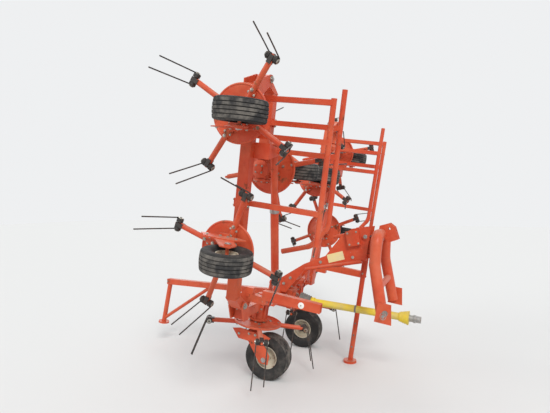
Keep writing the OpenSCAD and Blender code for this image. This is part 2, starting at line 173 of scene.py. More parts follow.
def leg_side(name):
    """The side of a wheel that its leg stands on: 1 is outward along the beam."""
    return -1 if name[1] == "2" else 1


def leg_face(name):
    """Distance along the beam from a rotor to the middle of its wheel leg's side plate."""
    return tyre_size(name)[1] / 2 + LEG_GAP


def facing(x, y, z, direction):
    """A place in a section's frame whose z looks along one of its own axes."""
    turns = {"+x": (90, "Y"), "-x": (-90, "Y"), "+y": (-90, "X"), "-y": (90, "X"), "+z": (0, "X"),
             "-z": (180, "X")}
    angle, axis = turns[direction]
    return Matrix.Translation((x, y, z)) @ Matrix.Rotation(math.radians(angle), 4, axis)


def outward(x, y, z, side):
    """A place that far along y to a side, whose z looks out to that side."""
    return facing(x, side * y, z, "+y" if side > 0 else "-y")


# Tones of what weather leaves on the paint
GRIME = (0.16, 0.075, 0.04)
SCUFF = (0.42, 0.3, 0.22)
RUST_DARK = (0.12, 0.042, 0.018)
RUST_LIGHT = (0.27, 0.11, 0.045)
YARD_DUST = (0.46, 0.39, 0.29)
FINE_DUST = (0.42, 0.36, 0.28)
BUMP_STRENGTH = 0.6


def shaded(colour):
    """A darker tone of a colour."""
    return tuple(part * 0.75 for part in colour)


class Channel:
    """A shader number that takes part in plain arithmetic."""

    def __init__(self, nodes, socket):
        self.nodes = nodes
        self.socket = socket

    def _math(self, operation, a, b, clamp=False):
        made = self.nodes.node("ShaderNodeMath", {"operation": operation, "use_clamp": clamp}, {0: a, 1: b})
        return Channel(self.nodes, made.outputs[0])

    def __add__(self, other):
        return self._math("ADD", self, other)

    def __sub__(self, other):
        return self._math("SUBTRACT", self, other)

    def __rsub__(self, other):
        return self._math("SUBTRACT", other, self)

    def __mul__(self, other):
        return self._math("MULTIPLY", self, other)

    def clamped(self):
        return self._math("ADD", self, 0.0, clamp=True)

    __radd__ = __add__
    __rmul__ = __mul__


class Nodes:
    """The node tree of a material or a world, filled from empty."""

    def __init__(self, owner):
        owner.use_nodes = True
        self.tree = owner.node_tree
        self.tree.nodes.clear()

    def node(self, kind, settings=None, sockets=None):
        """Any node, with its settings set before its sockets are filled or linked."""
        made = self.tree.nodes.new(kind)
        for key, setting in (settings or {}).items():
            setattr(made, key, setting)
        for key, value in (sockets or {}).items():
            socket = value.socket if isinstance(value, Channel) else value
            if isinstance(socket, bpy.types.NodeSocket):
                self.tree.links.new(socket, made.inputs[key])
            elif isinstance(socket, tuple) and len(socket) == 3 and made.inputs[key].type == "RGBA":
                made.inputs[key].default_value = (*socket, 1)
            else:
                made.inputs[key].default_value = socket
        return made


class Finish(Nodes):
    """A material under construction."""

    def __init__(self, name):
        self.material = bpy.data.materials.new(name)
        super().__init__(self.material)
        self.place = self.node("ShaderNodeTexCoord").outputs["Object"]

    def noise(self, scale, detail=3.0, rough=0.55, stretch=(1, 1, 1), shift=0.0):
        """Cloudy noise around 0.5 over the surface."""
        spread = self.node("ShaderNodeMapping", {},
                           {"Vector": self.place, "Scale": stretch, "Location": (shift, shift, shift)})
        made = self.node("ShaderNodeTexNoise", {},
                         {"Vector": spread.outputs[0], "Scale": scale, "Detail": detail, "Roughness": rough})
        return Channel(self, made.outputs["Fac"])

    def rise(self, value, low, high):
        """0 below low, 1 above high, and smooth between."""
        made = self.node("ShaderNodeMapRange", {"interpolation_type": "SMOOTHSTEP"},
                         {"Value": value, "From Min": low, "From Max": high})
        return Channel(self, made.outputs["Result"])

    def up_facing(self):
        """How far a face looks up, from 0 to 1."""
        normal = self.node("ShaderNodeNewGeometry").outputs["Normal"]
        made = self.node("ShaderNodeSeparateXYZ", {}, {0: normal})
        return Channel(self, made.outputs["Z"]).clamped()

    def mix(self, mask, a, b):
        """Colour a where mask is 0 and colour b where it is 1."""
        made = self.node("ShaderNodeMix", {"data_type": "RGBA"}, {0: mask, 6: a, 7: b})
        return made.outputs[2]

    def surface(self, colour, roughness, metallic=0.0, bump=None, bump_depth=0.001, gleam=0.5):
        """Closes the material with one principled surface."""
        sockets = {"Base Color": colour, "Roughness": roughness, "Metallic": metallic,
                   "Specular IOR Level": gleam}
        if bump is not None:
            height = self.node("ShaderNodeBump", {},
                               {"Height": bump, "Strength": BUMP_STRENGTH, "Distance": bump_depth})
            sockets["Normal"] = height.outputs[0]
        shader = self.node("ShaderNodeBsdfPrincipled", {}, sockets)
        self.node("ShaderNodeOutputMaterial", {}, {"Surface": shader.outputs[0]})
        return self.material


def paint(name, fresh, faded, rust_share, dust_share, gloss=0.42):
    """Weathered machine paint: faded patches, scuffs, rust spots and dust on what looks up."""
    f = Finish(name)
    broad = f.noise(1.6, 3)
    mottle = f.noise(22, 5, 0.6)
    colour = f.mix(f.rise(broad * 0.7 + mottle * 0.3, 0.36, 0.66), fresh, faded)
    grime = f.rise(f.noise(5, 6, 0.65, shift=3.1), 0.52, 0.78)
    colour = f.mix(grime * 0.45, colour, GRIME)
    scuffs = f.rise(f.noise(38, 4, 0.7, (1, 1, 0.5), 7.7), 0.66, 0.72)
    colour = f.mix(scuffs * 0.55, colour, SCUFF)
    rust = f.rise(f.noise(6.5, 9, 0.72, shift=1.3), 0.7 - 0.3 * rust_share, 0.76 - 0.24 * rust_share)
    rust_tone = f.mix(f.rise(mottle, 0.4, 0.62), RUST_DARK, RUST_LIGHT)
    colour = f.mix(rust * 0.9, colour, rust_tone)
    dust = (f.up_facing() * f.rise(f.noise(3.2, 6, 0.6, shift=5.5), 0.35, 0.7) * dust_share).clamped()
    colour = f.mix(dust, colour, YARD_DUST)
    rough = (gloss + 0.3 * grime + 0.35 * rust + 0.3 * dust).clamped()
    return f.surface(colour, rough, bump=rust * 0.6 + mottle * 0.12, bump_depth=0.0012, gleam=0.32)


def bare_metal(name, clean, stained, stain_share, metallic=0.85, gloss=0.38):
    """Steel or zinc with brown stains."""
    f = Finish(name)
    stain = f.rise(f.noise(14, 7, 0.7), 0.66 - 0.36 * stain_share, 0.8 - 0.3 * stain_share)
    fine = f.noise(60, 4)
    clouded = f.mix(f.rise(fine, 0.35, 0.65), clean, shaded(clean))
    return f.surface(f.mix(stain, clouded, stained), (gloss + 0.35 * stain).clamped(),
                     (metallic - 0.7 * stain).clamped(), bump=fine * 0.2 + stain * 0.4, bump_depth=0.0006)


def plastic(name, fresh, bleached, gloss, dust_share=0.3):
    """Sun-bleached plastic with dust in its low places."""
    f = Finish(name)
    patch = f.rise(f.noise(7, 5, 0.6), 0.35, 0.7)
    colour = f.mix(patch, fresh, bleached)
    dust = (f.rise(f.noise(11, 6, 0.65, shift=2.0), 0.42, 0.72) * dust_share).clamped()
    colour = f.mix(dust, colour, FINE_DUST)
    return f.surface(colour, (gloss + 0.25 * dust).clamped(), bump=f.noise(90, 3) * 0.3, bump_depth=0.0004)


def tyre_tread(name):
    """Black tyre rubber, dry and grey where it runs on the ground."""
    f = Finish(name)
    cloud = f.noise(9, 6, 0.65)
    dust = f.rise(cloud, 0.4, 0.68)
    colour = f.mix(dust * 0.7, (0.035, 0.034, 0.034), (0.24, 0.215, 0.185))
    return f.surface(colour, 0.86, bump=cloud * 0.5 + f.noise(120, 3) * 0.25, bump_depth=0.0008, gleam=0.25)


def tyre_wall(name):
    """Sidewall rubber, blacker than the tread."""
    f = Finish(name)
    dust = f.rise(f.noise(6, 6, 0.65, shift=4.0), 0.45, 0.75)
    colour = f.mix(dust * 0.45, (0.02, 0.0195, 0.019), (0.16, 0.14, 0.12))
    return f.surface(colour, 0.7, bump=f.noise(70, 3) * 0.2, bump_depth=0.0006, gleam=0.3)


class Finishes:
    """The object's finishes, made once and shared."""
    made = {}

    @classmethod
    def get(cls, name):
        if name not in cls.made:
            recipe, *settings = cls.recipes()[name]
            cls.made[name] = recipe(name, *settings)
        return cls.made[name]

    @staticmethod
    def recipes():
        """Each finish's function and what it takes after the name.

        Paint: fresh and faded colour, rust share, dust share, gloss.
        Metal: clean and stained colour, stain share, metallic, gloss.
        Plastic: fresh and bleached colour, gloss, dust share.
        """
        colours = bpy.context.scene.tedder_finish
        fresh, faded = tuple(colours.paint_fresh), tuple(colours.paint_faded)
        return {
            "frame_paint": (paint, fresh, faded, 0.28, 0.35),
            "casting_paint": (paint, fresh, shaded(faded), 0.45, 0.6, 0.55),
            "rotor_paint": (paint, fresh, faded, 0.42, 0.5),
            "rim_paint": (paint, tuple(colours.rim), (0.52, 0.47, 0.36), 0.55, 0.2, 0.5),
            "tine_steel": (bare_metal, (0.06, 0.054, 0.05), (0.075, 0.04, 0.025), 0.5, 0.5, 0.5),
            "worn_steel": (bare_metal, (0.42, 0.41, 0.39), (0.2, 0.11, 0.06), 0.4),
            "bolt_zinc": (bare_metal, (0.5, 0.48, 0.42), (0.24, 0.13, 0.07), 0.5),
            "guard_yellow": (plastic, tuple(colours.shaft_guard), (0.62, 0.5, 0.12), 0.5),
            "bell_grey": (plastic, (0.11, 0.11, 0.105), (0.2, 0.19, 0.17), 0.6),
            "plate_pale": (plastic, (0.78, 0.66, 0.3), (0.7, 0.6, 0.38), 0.4),
            "reflector_white": (plastic, (0.86, 0.85, 0.82), (0.78, 0.76, 0.7), 0.18, 0.2),
            "tyre_tread": (tyre_tread,),
            "tyre_wall": (tyre_wall,),
        }


def add_object(name, data):
    """A new object in the scene."""
    made = bpy.data.objects.new(name, data)
    bpy.context.scene.collection.objects.link(made)
    return made


class Shape:
    """A mesh put together from plain solids, each placed by a matrix."""
    # Bolts: thickness of the washer, and radii of washer, head and its top as shares of the width
    washer_t = 0.0022
    bolt_shares = (0.72, 0.54, 0.44)

    def __init__(self, name):
        self.name = name
        self.points = []
        self.faces = []
        self.marks = []
        self.finishes = []

    def add(self, points, faces, finish, at):
        if finish not in self.finishes:
            self.finishes.append(finish)
        mark = self.finishes.index(finish)
        flip = at.to_3x3().determinant() < 0
        start = len(self.points)
        self.points += [tuple(at @ Vector(p)) for p in points]
        for face in faces:
            turned = [start + i for i in face]
            self.faces.append(turned[::-1] if flip else turned)
            self.marks.append(mark)

    def box(self, low, high, finish, at=MACHINE):
        points = [(x, y, z) for z in (low[2], high[2]) for y in (low[1], high[1]) for x in (low[0], high[0])]
        faces = [(0, 2, 3, 1), (4, 5, 7, 6), (0, 1, 5, 4), (2, 6, 7, 3), (0, 4, 6, 2), (1, 3, 7, 5)]
        self.add(points, faces, finish, at)

    def turned(self, profile, finish, at=MACHINE, sides=32, closed=False):
        """A solid of revolution about z from (radius, height) points, outer side on the right going up."""
        points = []
        for i in range(sides):
            a = 2 * math.pi * i / sides
            points += [(r * math.cos(a), r * math.sin(a), z) for r, z in profile]
        n = len(profile)
        faces = []
        for i in range(sides):
            j = (i + 1) % sides
            for k in range(n if closed else n - 1):
                m = (k + 1) % n
                faces.append((i * n + k, j * n + k, j * n + m, i * n + m))
        if not closed:
            faces.append(tuple(i * n for i in range(sides))[::-1])
            faces.append(tuple(i * n + n - 1 for i in range(sides)))
        self.add(points, faces, finish, at)

    def tube(self, path, radius, finish, at=MACHINE, sides=10):
        """A round bar along a line of points, with flat ends."""
        path = [Vector(p) for p in path]
        ways = [(b - a).normalized() for a, b in zip(path, path[1:])]
        side = ways[0].orthogonal().normalized()
        points = []
        for i, p in enumerate(path):
            way = (ways[max(i - 1, 0)] + ways[min(i, len(ways) - 1)]).normalized()
            side = (side - way * side.dot(way)).normalized()
            other = way.cross(side)
            for k in range(sides):
                a = 2 * math.pi * k / sides
                points.append(p + (side * math.cos(a) + other * math.sin(a)) * radius)
        faces = []
        for i in range(len(path) - 1):
            for k in range(sides):
                m = (k + 1) % sides
                faces.append((i * sides + k, i * sides + m, (i + 1) * sides + m, (i + 1) * sides + k))
        faces.append(tuple(range(sides))[::-1])
        faces.append(tuple(range((len(path) - 1) * sides, len(path) * sides)))
        self.add(points, faces, finish, at)

    def bolt(self, at, width, height=0.008):
        """A hexagon head on a washer, standing along z of its place."""
        washer_r, head_r, top_r = (width * share for share in self.bolt_shares)
        foot = self.washer_t
        self.turned([(washer_r, 0), (washer_r, foot)], "bolt_zinc", at, 16)
        self.turned([(head_r, foot), (head_r, height), (top_r, height + 0.001)], "bolt_zinc", at, 6)

    def bolt_ring(self, at, radius, count, start, width):
        """Bolts on a circle round z of a place, given with its first bolt's turn."""
        for i in range(count):
            a = start + 2 * math.pi * i / count
            self.bolt(at @ Matrix.Translation((radius * math.cos(a), radius * math.sin(a), 0)), width)

    def make(self, body, crease=35, replaces=()):
        """Turns the shape into an object that rides on a body, hiding the solids it replaces."""
        mesh = bpy.data.meshes.new(self.name)
        mesh.from_pydata(self.points, [], self.faces)
        for finish in self.finishes:
            mesh.materials.append(Finishes.get(finish))
        mesh.polygons.foreach_set("material_index", self.marks)
        mesh.shade_smooth()
        mesh.set_sharp_from_angle(angle=math.radians(crease))
        mesh.update()
        made = add_object(self.name, mesh)
        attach(made, body)
        if replaces:
            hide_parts(*replaces)


class TedderFinish(bpy.types.PropertyGroup):
    """Colours that an owner would choose."""
    paint_fresh: bpy.props.FloatVectorProperty(
        name="Fresh paint", description="Paint where the sun spared it",
        subtype="COLOR", size=3, min=0, max=1, default=(0.55, 0.057, 0.018))
    paint_faded: bpy.props.FloatVectorProperty(
        name="Faded paint", description="Paint after years outdoors",
        subtype="COLOR", size=3, min=0, max=1, default=(0.62, 0.113, 0.046))
    rim: bpy.props.FloatVectorProperty(
        name="Rim paint", description="Cream paint of the rims",
        subtype="COLOR", size=3, min=0, max=1, default=(0.66, 0.6, 0.47))
    shaft_guard: bpy.props.FloatVectorProperty(
        name="Shaft guard", description="Yellow of the shaft's guard tube",
        subtype="COLOR", size=3, min=0, max=1, default=(0.74, 0.55, 0.02))


class TedderStage(bpy.types.PropertyGroup):
    """Where the camera stands and how bright the lamps are."""
    camera_place: bpy.props.FloatVectorProperty(
        name="Camera", description="Camera's place in the row frame",
        subtype="TRANSLATION", size=3, default=(1.7324, -4.219, 1.598))
    camera_yaw: bpy.props.FloatProperty(
        name="Yaw", description="Turn of the view to the left of straight in",
        subtype="ANGLE", default=math.radians(22.3))
    camera_pitch: bpy.props.FloatProperty(
        name="Pitch", description="Tilt of the view above level",
        subtype="ANGLE", default=math.radians(-0.4))
    lens: bpy.props.FloatProperty(
        name="Lens", description="Focal length on a 36 mm wide sensor, in mm",
        default=29.0, min=10, max=200)
    key: bpy.props.FloatProperty(
        name="Key lamp", description="Strength of the key lamp",
        default=2.0, min=0)


class TEDDER_OT_stage(bpy.types.Operator):
    """Sets the floor, the lamps and the camera"""
    bl_idname = "tedder.stage"
    bl_label = "Stage"
    floor_reach = 30
    floor_tone = (0.72, 0.72, 0.7)
    # Lamps by name: place, apparent size in degrees and share of the key lamp's strength
    lamps = {"key": ((5.0, -6.5, 8.0), 22, 1.0), "fill": ((-7.0, -5.0, 5.0), 45, 0.35),
             "back": ((-3.0, 7.0, 6.0), 40, 0.35)}
    lamp_target = Vector((0, 0, 1.2))
    sky_tone = (0.93, 0.95, 1.0)
    sky_strength = 0.62
    backdrop_tone = (0.86, 0.87, 0.88)

    def execute(self, context):
        self.camera(context)
        self.floor()
        for name, (place, angle, share) in self.lamps.items():
            lamp = bpy.data.lights.new(name + "_lamp", "SUN")
            lamp.angle = math.radians(angle)
            lamp.energy = context.scene.tedder_stage.key * share
            holder = add_object(name + "_lamp", lamp)
            holder.location = place
            holder.rotation_euler = (self.lamp_target - Vector(place)).to_track_quat("-Z", "Y").to_euler()
        self.sky(context)
        context.scene.view_settings.view_transform = "Standard"
        return {"FINISHED"}

    def camera(self, context):
        """The view of the machine's right rear quarter."""
        stage = context.scene.tedder_stage
        data = bpy.data.cameras.new("view_camera")
        data.lens = stage.lens
        data.sensor_width = 36
        data.clip_end = 200
        camera = add_object("view_camera", data)
        camera.location = stage.camera_place
        camera.rotation_euler = (math.pi / 2 + stage.camera_pitch, 0, stage.camera_yaw)
        context.scene.camera = camera

    def floor(self):
        """A wide matt floor that keeps the shadows."""
        reach = self.floor_reach
        mesh = bpy.data.meshes.new("floor")
        corners = [(-reach, -reach, 0), (reach, -reach, 0), (reach, reach, 0), (-reach, reach, 0)]
        mesh.from_pydata(corners, [], [(0, 1, 2, 3)])
        mesh.materials.append(Finish("floor_pale").surface(self.floor_tone, 0.9, gleam=0.0))
        floor = add_object("floor", mesh)

    def sky(self, context):
        """Pale surroundings that light the object softly and show as a plain backdrop."""
        world = bpy.data.worlds.new("studio")
        context.scene.world = world
        sky = Nodes(world)
        rays = sky.node("ShaderNodeLightPath").outputs
        seen = Channel(sky, rays["Is Camera Ray"]) + Channel(sky, rays["Is Glossy Ray"])
        seen = (seen + Channel(sky, rays["Is Transmission Ray"])).clamped()
        light = sky.node("ShaderNodeBackground", {}, {"Color": self.sky_tone, "Strength": self.sky_strength})
        backdrop = sky.node("ShaderNodeBackground", {}, {"Color": self.backdrop_tone, "Strength": 1.0})
        blend = sky.node("ShaderNodeMixShader", {}, {0: seen, 1: light.outputs[0], 2: backdrop.outputs[0]})
        sky.node("ShaderNodeOutputWorld", {}, {"Surface": blend.outputs[0]})


class TEDDER_OT_frame_paint(bpy.types.Operator):
    """Paints the machine's own solids"""
    bl_idname = "tedder.frame_paint"
    bl_label = "Frame Paint"
    # Slots whose solids take a finish of another name
    by_slot = {"tyre_rubber": "tyre_wall", "ram_steel": "rotor_paint", "shaft_guard": "guard_yellow"}

    def execute(self, context):
        for part in frame["record"]["subparts"]:
            mesh = frame["nodes"][part["node"]].data
            slot = part["material_slot"]
            mesh.materials.clear()
            mesh.materials.append(Finishes.get(self.by_slot.get(slot, slot)))
            mesh.polygons.foreach_set("material_index", [0] * len(mesh.polygons))
        self.mark("drive_shaft", SHAFT, lambda p: p.z < BELL_LEN - NEAR, "bell_grey")
        self.mark("drive_shaft", SHAFT, self.on_yoke)
        self.mark("hoop_legs", MACHINE, lambda p: abs(p.y) > LINK_SPAN / 2 + NEAR)
        self.mark("main_beam", MACHINE, lambda p: self.on_cross_pin(p, FOLD_PIN))
        for tag in SIDES:
            self.mark("wing_beam_" + tag, station(tag + "2"), lambda p: self.on_cross_pin(p, TIP_PIN))
            self.mark("ram_" + tag, cylinder_place(tag), self.on_bare_rod)
        return {"FINISHED"}

    def on_yoke(self, p):
        """Whether a place on the shaft is bare metal: its yoke or the yoke's bore."""
        return p.z > CONE_AT + CONE_LEN + NEAR or p.xy.length < YOKE_BORE_R + NEAR

    def on_cross_pin(self, p, pin):
        """Whether a place is on the end of a fold pin of either side, outside the ears."""
        return abs(p.x) > EAR_FACE + NEAR and math.hypot(abs(p.y) - pin[0], p.z - pin[1]) < PIN_R + NEAR

    def on_bare_rod(self, p):
        """Whether a place on the rod is below its tie tube."""
        return p.xy.length < ROD_R + NEAR and p.z < TIE_TUBE_AT + NEAR

    def mark(self, node, at, test, finish="worn_steel"):
        """Gives one finish to the faces of a solid whose middles pass a test in a place's own axes."""
        mesh = frame["nodes"][node].data
        mesh.materials.append(Finishes.get(finish))
        back = at.inverted()
        for face in mesh.polygons:
            if test(back @ face.center):
                face.material_index = len(mesh.materials) - 1


class TEDDER_OT_tyres(bpy.types.Operator):
    """Builds the ribbed tyres"""
    bl_idname = "tedder.tyres"
    bl_label = "Tyres"
    ribs, groove, groove_share, groove_flank = 5, 0.009, 0.30, 0.0012
    band_share, band_t, crown = 0.84, 0.02, 0.006

    def execute(self, context):
        for name in STATIONS:
            diameter, width, rim_r = tyre_size(name)
            at = station(name) @ facing(AXLE_AHEAD, 0, -AXLE_DROP, "+y")
            shape = Shape("ribbed_tyre_" + name)
            shape.turned(self.tread(diameter / 2, width / 2), "tyre_tread", at, 72, closed=True)
            shape.turned(self.walls(diameter / 2, width / 2, rim_r), "tyre_wall", at, 72, closed=True)
            shape.make("wheel_" + name, 30, replaces=("tyre_" + name,))
        return {"FINISHED"}

    def tread(self, r, h):
        """Closed band of ribs and grooves, crowned towards the middle."""
        edge = h * self.band_share
        step = 2 * edge / self.ribs
        gap = step * self.groove_share

        def top(y):
            return r - self.crown * (y / edge) ** 2

        profile = [(r - self.band_t, -edge)]
        for i in range(self.ribs):
            low = -edge + i * step + (0 if i == 0 else gap / 2)
            high = -edge + (i + 1) * step - (0 if i == self.ribs - 1 else gap / 2)
            profile += [(top(y), y) for y in (low, (low + high) / 2, high)]
            if i < self.ribs - 1:
                floor = top(high) - self.groove
                profile += [(floor, high + self.groove_flank), (floor, high + gap - self.groove_flank)]
        profile.append((r - self.band_t, edge))
        return profile

    def walls(self, r, h, rim_r):
        """Carcass with rounded shoulders, bulging sidewalls and a bead at the rim."""
        half = [(r - 0.0075, h * 0.80), (r - 0.009, h * 0.90), (r - 0.018, h * 0.975), (r - 0.034, h),
                ((r + rim_r) / 2, h * 0.995), (rim_r + 0.030, h * 0.93), (rim_r + 0.026, h * 0.90),
                (rim_r + 0.014, h * 0.80), (rim_r + 0.006, h * 0.73), (rim_r, h * 0.715)]
        return [(radius, -y) for radius, y in reversed(half)] + half


class TEDDER_OT_wheels(bpy.types.Operator):
    """Adds hub caps and nuts to the rims"""
    bl_idname = "tedder.wheels"
    bl_label = "Wheel Details"
    hub_share = 0.42
    hub_cap = [(0.031, -0.004), (0.031, 0.004), (0.026, 0.011), (0.012, 0.014)]
    disc_face = 0.010
    nuts = (0.046, 5, 0.3, 0.017)

    def execute(self, context):
        for name in STATIONS:
            free = -leg_side(name)
            hub_end = tyre_size(name)[1] / 2 * self.hub_share
            shape = Shape("wheel_hub_" + name)
            end = station(name) @ outward(AXLE_AHEAD, hub_end, -AXLE_DROP, free)
            shape.turned(self.hub_cap, "worn_steel", end, 24)
            disc = station(name) @ outward(AXLE_AHEAD, self.disc_face, -AXLE_DROP, free)
            shape.bolt_ring(disc, *self.nuts)
            shape.make("wheel_" + name)
        return {"FINISHED"}


class TEDDER_OT_rotors(bpy.types.Operator):
    """Builds the rotors with their arms, coils and tines"""
    bl_idname = "tedder.rotors"
    bl_label = "Rotors"
    # Disc: profiles of its sheet and its hub as radius and height, from the disc's own level
    roll_r = 0.010
    rim_r, top, foot = DISC_D / 2 - roll_r, 0.013, 0.005
    sheet = [(0.0305, foot), (0.118, foot), (0.15, -0.006), (rim_r, -0.006), (rim_r, 0), (0.152, 0),
             (0.12, top), (0.0305, top)]
    hub = [(0.0301, -0.018), (0.052, -0.018), (0.056, -0.014), (0.056, 0.014), (0.052, 0.018),
           (0.0301, 0.018)]
    hub_bolts = (0.078, 6, 0.4, 0.017)
    arm_bolt = 0.019
    # Corners of an arm's clamp plate, from the arm's root, and of its flat end, from its tip
    plate = ((-0.020, -0.034, -0.004), (0.090, 0.034, 0.018))
    plate_bolt_gap, plate_bolt_y = 0.068, 0.026
    flat_end = ((-0.03, -0.009, -0.016), (0.024, 0.009, 0.016))
    coil_r, coil_run, coil_turns, coil_points = 0.023, 0.034, 3, 14
    leg_foot, leg_mid, leg_spread = -0.004, 0.35, math.radians(2)
    bar_r, bar_past = 0.008, 0.024
    clip_half, clip_t, clip_from, clip_to = 0.0165, 0.0075, -0.044, 0.018
    spool = [(0.017, -clip_half), (0.017, clip_half)]
    washer = [(0.019, 0), (0.019, 0.0025)]
    nut = [(0.0105, 0.0025), (0.0105, 0.0055)]

    def execute(self, context):
        for name in STATIONS:
            at = station(name)
            shape = Shape("rotor_dressed_" + name)
            self.disc(shape, at)
            for i in range(4):
                arm = at @ Matrix.Rotation(math.radians(self.first_arm(name) + 90 * i), 4, "Z")
                tip = arm @ Matrix.Translation((ARM_REACH, 0, self.arm_height(ARM_REACH)))
                self.arm(shape, arm, tip)
                if BARE_ARMS.get(name) != i:
                    self.tines(shape, tip)
            shape.make("rotor_" + name, replaces=("rotor_" + name,))
        return {"FINISHED"}

    def first_arm(self, name):
        """Turn of a rotor's first arm in degrees: neighbours differ by half an arm's step."""
        odd = name[1] in "13"
        start = -PHASE_STEP - PHASE if odd else PHASE
        if name[0] == "l":
            start += -PHASE_STEP if odd else PHASE_STEP
        return start

    def arm_height(self, x):
        """Height of an arm's middle line at a distance from the rotor's axis."""
        return -DISC_DROP - 0.012 - (x - ARM_ROOT) * math.tan(ARM_SLOPE)

    def disc(self, shape, at):
        """Dished disc with a rolled rim, a hub and bolts on both faces."""
        level = at @ Matrix.Translation((0, 0, -DISC_DROP))
        turns = (math.radians(x) for x in range(-150, 151, 25))
        roll = [(self.rim_r + self.roll_r * math.cos(a), self.roll_r * math.sin(a)) for a in turns]
        shape.turned(self.sheet, "rotor_paint", level, 64, closed=True)
        shape.turned(roll, "rotor_paint", level, 64, closed=True)
        shape.turned(self.hub, "casting_paint", level, 40, closed=True)
        for z, look in ((self.foot, "-z"), (self.top, "+z")):
            shape.bolt_ring(level @ facing(0, 0, z, look), *self.hub_bolts)

    def arm(self, shape, arm, tip):
        """Tube arm under its clamp plate, with its bolts and a flattened end."""
        line = [(x, 0, self.arm_height(x)) for x in (ARM_ROOT, ARM_REACH)]
        shape.tube(line, ARM_D / 2, "rotor_paint", arm, 20)
        root = arm @ Matrix.Translation(line[0])
        shape.box(*self.plate, "rotor_paint", root)
        for x in (0, self.plate_bolt_gap):
            for y in (-self.plate_bolt_y, self.plate_bolt_y):
                shape.bolt(root @ facing(x, y, self.plate[0][2], "-z"), 0.013, 0.007)
        for x, sheet in ((ARM_ROOT + 0.02, self.top), (DISC_D / 2 - 0.03, 0)):
            shape.bolt(arm @ facing(x, 0, sheet - DISC_DROP, "+z"), self.arm_bolt, 0.009)
            shape.bolt(arm @ facing(x, 0, self.arm_height(x) - ARM_D / 2, "-z"), self.arm_bolt, 0.009)
        shape.box(*self.flat_end, "rotor_paint", tip)
        shape.bolt(tip @ facing(0.012, self.flat_end[0][1], 0, "-y"), 0.017)

    def tine_path(self, leg, hand):
        """Wire of one side of a double tine: a coil about y, then the straight leg."""
        steps = self.coil_points * self.coil_turns
        path = []
        for i in range(steps + 1):
            share = i / steps
            a = TINE_LEAN + 2 * math.pi * self.coil_turns * (1 - share)
            y = hand * (-self.coil_run / 2 + TINE_D / 2 + share * (self.coil_run - TINE_D))
            path.append((self.coil_r * math.cos(a), y, self.coil_r * math.sin(a)))
        spread = self.leg_spread * hand
        slope = math.pi - TINE_LEAN
        flat = math.sin(slope)
        way = Vector((flat * math.cos(spread), flat * math.sin(spread), math.cos(slope)))
        start = Vector(path[-1])
        middle = start + way * leg * self.leg_mid
        end = Vector((self.coil_r, start.y, self.leg_foot)) + way * (leg - 0.002)
        return path + [tuple(middle), tuple(end)]

    def tines(self, shape, tip):
        """Double tine: two coils on one bar in a clip, the legs of unequal length."""
        for hand in (-1, 1):
            leg = TINE_LEN - (TINE_STEP if hand < 0 else 0)
            place = tip @ Matrix.Translation((0, hand * TINE_GAP / 2, 0))
            shape.tube(self.tine_path(leg, hand), TINE_D / 2, "tine_steel", place)
            shape.turned(self.spool, "bell_grey", place @ facing(0, 0, 0, "+y"), 20)
            cheek = place @ outward(0, 0.018, 0, hand)
            shape.turned(self.washer, "bolt_zinc", cheek, 20)
            shape.turned(self.nut, "bolt_zinc", cheek, 6)
        half = TINE_GAP / 2 + self.bar_past
        bar = tip @ facing(0, 0, 0, "+y")
        shape.turned([(self.bar_r, -half), (self.bar_r, half)], "tine_steel", bar, 16)
        end = TINE_GAP / 2 - 0.016
        link = [(0.02, -end, 0.012), (0.026, 0, 0.012), (0.02, end, 0.012)]
        shape.tube(link, TINE_D / 2, "tine_steel", tip)
        self.clip(shape, tip)

    def clip(self, shape, tip):
        """Flat steel clip round the coils: two long plates and two short cheeks."""
        half, out = self.clip_half, self.clip_half + self.clip_t
        for low, high in ((-out, -half), (half, out)):
            shape.box((self.clip_from, -half, low), (self.clip_to, half, high), "tine_steel", tip)
        for y in (-half, half - 0.005):
            shape.box((self.clip_from, y, -half), (-0.010, y + 0.005, half), "tine_steel", tip)


class TEDDER_OT_fasteners(bpy.types.Operator):
    """Adds the flange bolts of the housings and the bolts and caps of the wheel legs"""
    bl_idname = "tedder.fasteners"
    bl_label = "Fasteners"
    flange_y, lid_z, boss_half = 0.100, 0.082, 0.017
    # Circles of bolts: radius, count, first turn and width
    flange_bolts = (0.0615, 8, math.pi / 8, 0.013)
    lid_bolts = (0.036, 4, math.pi / 4, 0.013)
    leg_bolt = 0.017
    # Bolts of a leg's side plate, ahead of the rotor and up
    leg_bolts = ((-0.12, -0.285), (0.12, -0.285), (-0.02, -0.262), (0.04, -0.262))
    axle_cap = [(0.022, 0), (0.022, 0.004), (0.013, 0.006)]

    def execute(self, context):
        for name in STATIONS:
            at = station(name)
            shape = Shape("housing_bolts_" + name)
            for side in (-1, 1):
                flange = at @ outward(0, self.flange_y, 0, side)
                shape.bolt_ring(flange, *self.flange_bolts)
            shape.bolt_ring(at @ facing(0, 0, self.lid_z, "+z"), *self.lid_bolts)
            side = leg_side(name)
            for x, z in self.leg_bolts:
                shape.bolt(at @ outward(x, leg_face(name) + 1.5 * LEG_T, z, side), self.leg_bolt)
            axle = at @ outward(AXLE_AHEAD, leg_face(name) + self.boss_half, -AXLE_DROP, side)
            shape.turned(self.axle_cap, "worn_steel", axle, 20)
            shape.make(parent_body(name))
        return {"FINISHED"}


